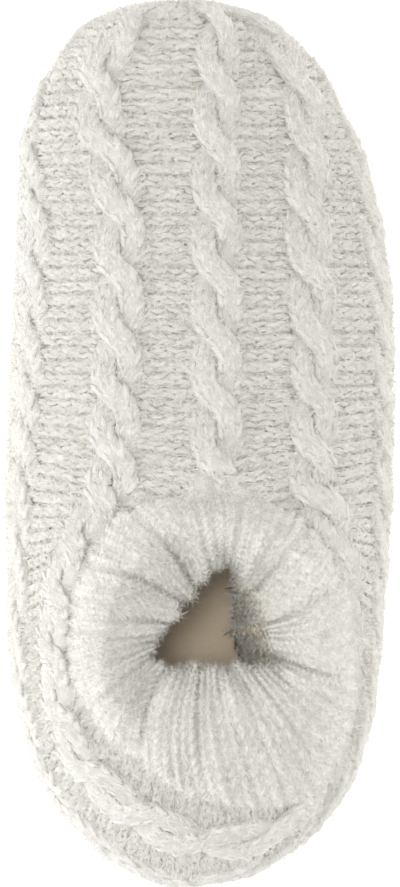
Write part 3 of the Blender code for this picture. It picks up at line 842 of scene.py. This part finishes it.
at_mouth, at_edge, groove_depth = (np.array(column) for column in zip(*GROOVES))
mouth_steps = np.mod(np.roll(at_mouth, -1) - at_mouth, 360)
edge_steps = np.mod(np.roll(at_edge, -1) - at_edge, 360)


def rib_hollows(number, share, climb):
    """How deep the surface lies: deep in the grooves between ribs, a little between a rib's three wales."""
    depth = groove_depth[number] * (1 - share) + groove_depth[(number + 1) % len(GROOVES)] * share
    plump = np.clip(np.sin(math.pi * share), 0.0, 1.0) ** (1.0 - 0.5 * np.clip(depth, 0.0, 1.0))
    lumps = np.sin(2.3 * number + 7 * climb) + np.sin(4.1 * number + 3.1 * climb + 5 * share)
    between_wales = 0.5 + 0.5 * np.cos(6 * math.pi * share)
    fade = 0.12 + 0.88 * np.clip(climb, 0.0, 1.0) ** 2
    return fade * RIB_DEPTH * depth * (1 - plump) + WALE_DEPTH * between_wales + LUMPS * lumps * plump


def cuff_place_at(rib, climb, depth=0.0):
    """A place on the cuff. Rib counts ribs round it, and climb goes from its edge over the crest at 1."""
    rib, climb = np.broadcast_arrays(np.asarray(rib, float), np.asarray(climb, float))
    number = np.floor(rib).astype(int) % len(GROOVES)
    share = rib - np.floor(rib)
    mouth_angle = np.radians(at_mouth[number] + mouth_steps[number] * share)
    edge_angle = np.radians(at_edge[number] + edge_steps[number] * share)
    outer = CUFF_REACH * outer_curve(edge_angle) + PLUMPNESS
    mouth = MOUTH_REACH * mouth_curve(mouth_angle)
    top = CUFF_TOP * crest_curve((edge_angle + mouth_angle) / 2) - CREST_SINK
    crest = mouth + (outer - mouth) * crest_place(edge_angle)
    seat_x, seat_y = cuff_place(edge_angle, outer)
    seat = knit_height(seat_x, seat_y) - SEAT_SINK
    groove = rib_hollows(number, share, climb) + depth
    from_front = np.angle(np.exp(1j * (edge_angle - MERGE_MIDDLE)))
    merging = np.exp(-((from_front / MERGE_WIDTH) ** 2))
    over = OVERHANG * (1 - merging)
    tucked = np.clip(1 - climb / TUCKED_CLIMB, 0.0, 1.0)
    outside = np.clip((1 - climb) / (1 - TUCKED_CLIMB), 0.0, 1.0) * math.pi / 2
    inside = np.clip((climb - 1) / (MOUTH_EDGE - 1), 0.0, 1.0) * math.pi / 2
    down = np.clip((climb - MOUTH_EDGE) / (LIP_END - MOUTH_EDGE), 0.0, 1.0)
    from_right = np.degrees(np.angle(np.exp(1j * mouth_angle)))
    opened = np.clip((from_right - FOLD_ENDS[0]) / (FOLD_ENDS[1] - FOLD_ENDS[0]), 0.0, 1.0)
    slope_in = np.clip((mouth + groove) * np.cos(mouth_angle) - INNER_FOLD, 0.0, MOST_SLOPE) * opened
    reach = np.where(
        climb < 1,
        crest + (outer - groove - crest) * np.sin(outside) - EDGE_CURL * over * tucked * tucked,
        crest - (crest - mouth - groove) * np.sin(inside),
    )
    fall = np.sin(outside)
    dish = 0.95 * np.clip((crest_place(edge_angle) - 0.5) / 0.12, 0.0, 1.0)
    hollow = dish * np.sin(inside) + (1 - dish) * (1 - np.cos(inside))
    rise = (1 - merging) * np.cos(outside) + merging * (1 - fall * fall * (3 - 2 * fall))
    height = np.where(
        climb < 1,
        seat + over + (top - groove - seat - over) * rise - over * tucked,
        top - groove - MOUTH_DEPTH * hollow - (LIP_LENGTH + INNER_STEEPNESS * slope_in) * down,
    )
    across = np.clip((reach - mouth) / (outer - mouth), 0.0, 1.0)
    angle = mouth_angle + np.mod(edge_angle - mouth_angle + math.pi, 2 * math.pi) * across - math.pi * across
    x, y = cuff_place(angle, reach)
    return np.stack([x - slope_in * down, y - FOLD_SLIP * slope_in * down, height], axis=-1) + STAND


rib_marks = np.arange(0, len(GROOVES), 1 / 12)
climb_marks = np.concatenate([np.linspace(0, 1, 32), np.linspace(1, LIP_END, 34)[1:]])
rings = [cuff_place_at(rib_marks, c) for c in climb_marks]
rings += [cuff_place_at(rib_marks, c, BAND_BODY) for c in climb_marks[::-1][::2]]
cuff_body = bmesh.new()
laid = [[cuff_body.verts.new(p) for p in ring] for ring in rings]
for low, high in zip(laid, laid[1:] + laid[:1]):
    for i in range(len(low)):
        n = (i + 1) % len(low)
        cuff_body.faces.new((low[i], low[n], high[n], high[i]))
bmesh.ops.recalc_face_normals(cuff_body, faces=cuff_body.faces)

rib_legs = Stitches()
CUFF_ROWS, FIRST_CLIMB, TOP_CLIMB, CUFF_LEG_SPREAD = 26, 0.06, 2.33, 0.5
RIB_WALES, RIB_LEG_OFFSET, RIB_LEG_WIDTH = (-0.31, 0.0, 0.31), 0.078, 0.16  # in shares of a rib
RIB_LEG_SINK, RIB_LEG_DEPTH, NEARBY = 0.36 * MM, 1.3 * MM, 0.02
for rib in range(len(GROOVES)):
    for wale in RIB_WALES:
        for leg in (-1, 1):
            row_share = (np.arange(CUFF_ROWS) + 0.5 + 0.25 * leg) / CUFF_ROWS
            climb = FIRST_CLIMB + (TOP_CLIMB - FIRST_CLIMB) * row_share
            share = rib + 0.5 + wale + leg * RIB_LEG_OFFSET
            place = cuff_place_at(share, climb)
            along = cuff_place_at(share, climb + NEARBY) - cuff_place_at(share, climb - NEARBY)
            aside = cuff_place_at(share + NEARBY, climb) - cuff_place_at(share - NEARBY, climb)
            width = np.linalg.norm(aside, axis=-1) / (2 * NEARBY) * RIB_LEG_WIDTH
            length = np.linalg.norm(along, axis=-1) / (2 * NEARBY) * TOP_CLIMB / CUFF_ROWS
            along /= np.linalg.norm(along, axis=-1)[:, None]
            out = np.cross(aside, along)
            out /= np.linalg.norm(out, axis=-1)[:, None]
            aside = np.cross(along, out)
            leg_along = along * math.cos(CUFF_LEG_SPREAD) + aside * (leg * math.sin(CUFF_LEG_SPREAD))
            leg_across = np.cross(leg_along, out)
            sunk = place - out * RIB_LEG_SINK
            rib_legs.add(sunk, leg_across, leg_along, out, width, length, RIB_LEG_DEPTH)
rib_mesh = rib_legs.lay("rib_legs", leg_shape, rib_yarn, 0.10, 0.08, 9)

# Low in the mouth the band's colour is multiplied by a warm taupe: painted shade, with the warm cast of light
# bounced off the lining.
MOUTH_PAINTED_SHADE, PAINTED_SHADE_BEGINS, PAINTED_SHADE_FULL = (0.80, 0.73, 0.58), 25 * MM, 15 * MM
PAINTED_SHADE_MIDDLE = (CUFF_RIGHT + 6 * MM, -CUFF_BACK, CUFF_TOP - 32 * MM)
rib_tree = rib_yarn.node_tree
rib_colour = rib_tree.nodes["Principled BSDF"].inputs["Base Color"]
rib_place = node_in(rib_tree, "ShaderNodeTexCoord", {}).outputs["Object"]
from_mouth = node_in(rib_tree, "ShaderNodeVectorMath", {0: rib_place, 1: PAINTED_SHADE_MIDDLE}, operation="DISTANCE")
reach_in = {"Value": from_mouth.outputs["Value"], "From Min": PAINTED_SHADE_BEGINS, "From Max": PAINTED_SHADE_FULL}
painted_shade_in = node_in(rib_tree, "ShaderNodeMapRange", reach_in)
# Painted shade: deep in the mouth the rib yarn's colour is multiplied by the warm taupe.
painted_shade_mix = node_in(
    rib_tree,
    "ShaderNodeMix",
    {"Factor": painted_shade_in.outputs["Result"], "A": rib_colour.links[0].from_socket, "B": (*MOUTH_PAINTED_SHADE, 1.0)},
    data_type="RGBA",
    blend_type="MULTIPLY",
)
rib_tree.links.new(painted_shade_mix.outputs["Result"], rib_colour)
cuff_body.from_mesh(rib_mesh)
cuff = new_piece("rib_cuff", cuff_body, rib_yarn)
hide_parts("cuff")


# Halo
# The yarn is brushed, so fine hairs lie over every stitch, mostly along the yarn, and stand off the
# outline. Each is a narrow leaf, bent across its middle, that thins to a point at both ends.
hair_mesh = bpy.data.meshes.new("hair")
hair_mesh.from_pydata(
    [(0.0, 0.0, 0.0), (0.5, 0.42, 0.08), (-0.5, 0.42, 0.08), (0.0, 1.0, 0.35)],
    [],
    [(0, 1, 2), (2, 1, 3)],
)
hair_shape = bpy.data.objects.new("hair", hair_mesh)
scene.collection.objects.link(hair_shape)
HAIR_WIDTH, SHORTEST = 0.14 * MM, 1.2 * MM
ROUND_HEEL = -45 * MM  # behind this line the purl stitches carry more hairs
HEEL_PURL_SHARE, PURL_SHARE = 1.4, 0.75  # for one hair on a cable stitch of the same size


def hairs_on(name, groups, count, longest, combed, where, seed):
    """Hairs that start on the stitches of a region. The combed share of them lies along the yarn."""
    draw = np.random.default_rng(seed)
    place, right, forward, out, size = (np.concatenate(c) for c in zip(*[s.joined() for s in groups]))
    turned = np.concatenate([np.full(len(s.joined()[0]), s.runs_across) for s in groups])
    on_purl = np.where(place[:, 1] < ROUND_HEEL, HEEL_PURL_SHARE, PURL_SHARE)
    weight = size[:, 0] * size[:, 1] * where(place) * np.where(turned, on_purl, 1.0)
    pick = draw.choice(len(place), count, p=weight / weight.sum())
    spot = place[pick] + right[pick] * (draw.uniform(-0.5, 0.5, (count, 1)) * size[pick, :1])
    spot = spot + forward[pick] * (draw.uniform(-0.5, 0.5, (count, 1)) * size[pick, 1:2])
    spot = spot + out[pick] * (0.48 * size[pick, 2:])
    yarn_way = draw.normal(0, 0.5, count) + math.pi * draw.integers(0, 2, count)
    heading = np.where(draw.random(count) < combed, yarn_way, draw.uniform(0, 2 * math.pi, count))
    heading = (heading + np.where(turned[pick], 0.0, math.pi / 2))[:, None]
    rise = np.radians(4 + 46 * draw.random((count, 1)) ** 2.5)
    flat = right[pick] * np.cos(heading) + forward[pick] * np.sin(heading)
    along = flat * np.cos(rise) + out[pick] * np.sin(rise)
    up = out[pick] * np.cos(rise) - flat * np.sin(rise)
    length = SHORTEST + (longest - SHORTEST) * draw.random(count) ** 2.2
    hair = Stitches()
    hair.add(spot, np.cross(along, up), along, up, HAIR_WIDTH, length, 0.5 * length)
    mesh = hair.lay(name, hair_shape, halo_yarn, 0.2, 0.15, seed)
    return new_piece(name, mesh, halo_yarn)


HALO_REGIONS = (
    # region, back, front, hairs
    ("toe", 50 * MM, LENGTH, 62000),
    ("instep", -25 * MM, 50 * MM, 66000),
    ("heel", -LENGTH, -25 * MM, 70000),
)
for number, (region, back, front, count) in enumerate(HALO_REGIONS):
    inside = lambda place: (place[:, 1] > back) & (place[:, 1] <= front)
    hairs_on("halo_" + region, [arcs, legs], count, 4.6 * MM, 0.65, inside, 21 + number)

MOUTH_WALL_LOW = 30 * MM
above_fold = lambda place: place[:, 2] > MOUTH_WALL_LOW
hairs_on("halo_cuff", [rib_legs], 60000, 3.3 * MM, 0.25, above_fold, 31)


# Lining and insole
# Inside, a smooth taupe fleece covers the knit, and a padded footbed of the same fleece lies on the
# sole. They show only through the cuff's mouth.
def napped_finish(name, pale, deep, grain, relief_depth):
    """Brushed cloth in two close tones, mixed by the nap, with the same nap as low relief."""
    made, shader, tree = finish_of(name, pale, 0.92)
    shader.inputs["Sheen Weight"].default_value = 0.3
    shader.inputs["Specular IOR Level"].default_value = 0.2
    place = node_in(tree, "ShaderNodeTexCoord", {}).outputs["Object"]
    nap = node_in(tree, "ShaderNodeTexNoise", {"Vector": place, "Scale": grain, "Detail": 5.0}).outputs["Fac"]
    both = {"Factor": nap, "A": (*deep, 1.0), "B": (*pale, 1.0)}
    tones = node_in(tree, "ShaderNodeMix", both, data_type="RGBA")
    relief = node_in(tree, "ShaderNodeBump", {"Strength": 0.5, "Distance": relief_depth, "Height": nap})
    tree.links.new(tones.outputs["Result"], shader.inputs["Base Color"])
    tree.links.new(relief.outputs["Normal"], shader.inputs["Normal"])
    return made, shader, tree, tones, relief


fleece, *_ = napped_finish("taupe_fleece", (0.96, 0.80, 0.60), (0.84, 0.69, 0.51), 900.0, 0.4 * MM)

LINING_DEPTH, LINING_THICKNESS = 2.2 * MM, 1.3 * MM
lining_sheet = skin_sheet(sheet_rows[::2], sheet_shares[::2], LINING_DEPTH)
bmesh.ops.reverse_faces(lining_sheet, faces=lining_sheet.faces)
lining = new_piece("fleece_lining", lining_sheet, fleece)
lining_wall = lining.modifiers.new("wall", "SOLIDIFY")
lining_wall.thickness, lining_wall.offset = LINING_THICKNESS, 1.0


EDGE_ANGLE = math.radians(50)  # edges sharper than this are rounded


def pad(name, node, edge_round, finish):
    """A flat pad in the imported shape, with its edges rounded."""
    made = bmesh.new()
    made.from_mesh(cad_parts[node].data)
    bmesh.ops.remove_doubles(made, verts=made.verts, dist=0.01 * MM)
    bmesh.ops.dissolve_limit(made, angle_limit=0.01, verts=made.verts, edges=made.edges)
    sharp = [edge for edge in made.edges if edge.calc_face_angle(0.0) > EDGE_ANGLE]
    bmesh.ops.bevel(made, geom=sharp, offset=edge_round, segments=3, profile=0.5, affect="EDGES")
    bmesh.ops.triangulate(made, faces=made.faces)
    return new_piece(name, made, finish)


insole = pad("fleece_insole", "insole", 0.8 * MM, fleece)
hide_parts("insole")


# Sole
# A soft flat sole of felted fabric, sewn to the knit all round with slanting stitches. Small rubber
# dots in even rows cover its underside for grip.
DOT_PITCH, DOT_SHARE, FACING_DOWN, RUBBER = 6 * MM, 0.22, -0.8, (0.80, 0.78, 0.73)
felt, felt_shader, felt_tree, felt_tones, felt_relief = napped_finish(
    "felted_fabric", (0.66, 0.62, 0.54), (0.52, 0.48, 0.41), 600.0, 0.5 * MM
)
felt_place = node_in(felt_tree, "ShaderNodeTexCoord", {}).outputs["Object"]
even = {"Vector": felt_place, "Scale": 1 / DOT_PITCH, "Randomness": 0.0}
dot_rows = node_in(felt_tree, "ShaderNodeTexVoronoi", even, voronoi_dimensions="2D")
edges = {"Value": dot_rows.outputs["Distance"], "From Min": DOT_SHARE, "From Max": 0.8 * DOT_SHARE}
dot_edge = node_in(felt_tree, "ShaderNodeMapRange", edges)
facing = node_in(felt_tree, "ShaderNodeNewGeometry", {}).outputs["Normal"]
facing_up = node_in(felt_tree, "ShaderNodeSeparateXYZ", {"Vector": facing}).outputs["Z"]
underneath = node_in(felt_tree, "ShaderNodeMath", {0: facing_up, 1: FACING_DOWN}, operation="LESS_THAN")
both = {0: dot_edge.outputs["Result"], 1: underneath.outputs[0]}
dots = node_in(felt_tree, "ShaderNodeMath", both, operation="MULTIPLY").outputs[0]
colours = {"Factor": dots, "A": felt_tones.outputs["Result"], "B": (*RUBBER, 1.0)}
dotted = node_in(felt_tree, "ShaderNodeMix", colours, data_type="RGBA")
felt_tree.links.new(dotted.outputs["Result"], felt_shader.inputs["Base Color"])
smoother = node_in(felt_tree, "ShaderNodeMapRange", {"Value": dots, "To Min": 0.92, "To Max": 0.45})
felt_tree.links.new(smoother.outputs["Result"], felt_shader.inputs["Roughness"])
height = {"Strength": 0.8, "Distance": 0.6 * MM, "Height": dots, "Normal": felt_relief.outputs["Normal"]}
raised = node_in(felt_tree, "ShaderNodeBump", height)
felt_tree.links.new(raised.outputs["Normal"], felt_shader.inputs["Normal"])
sole = pad("felt_sole", "sole", 1.2 * MM, felt)
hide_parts("sole")

SEAM_PITCH, SEAM_REACH, SEAM_SLANT, SEAM_YARN = 4 * MM, 1.4 * MM, 0.5, 1.1 * MM
seam = Stitches()
for side in (-1, 1):
    share_of = lambda row: np.full_like(row, 1 + UNDER_SHARE)
    rows = even_rows(side, share_of, SEAM_PITCH)
    knit_edge, widest = skin(side, rows, 1 + UNDER_SHARE), skin(side, rows, 1.0)
    out = np.tile([0.0, 0.0, 1.0], (len(rows), 1))
    outward = (widest - knit_edge) * (1, 1, 0)
    outward /= np.linalg.norm(outward, axis=-1)[:, None]
    run = np.cross(outward, out)
    across = outward * math.cos(SEAM_SLANT) + run * math.sin(SEAM_SLANT)
    middle = knit_edge + outward * SEAM_REACH + out * 0.2 * MM
    seam.add(middle, np.cross(across, out), across, out, SEAM_YARN, 2 * SEAM_REACH, SEAM_YARN)
new_piece("sole_seam", seam.lay("sole_seam", leg_shape, rib_yarn, 0.08, 0.06, 41), rib_yarn)

for shape in (arc_shape, leg_shape, hair_shape):
    bpy.data.objects.remove(shape, do_unlink=True)
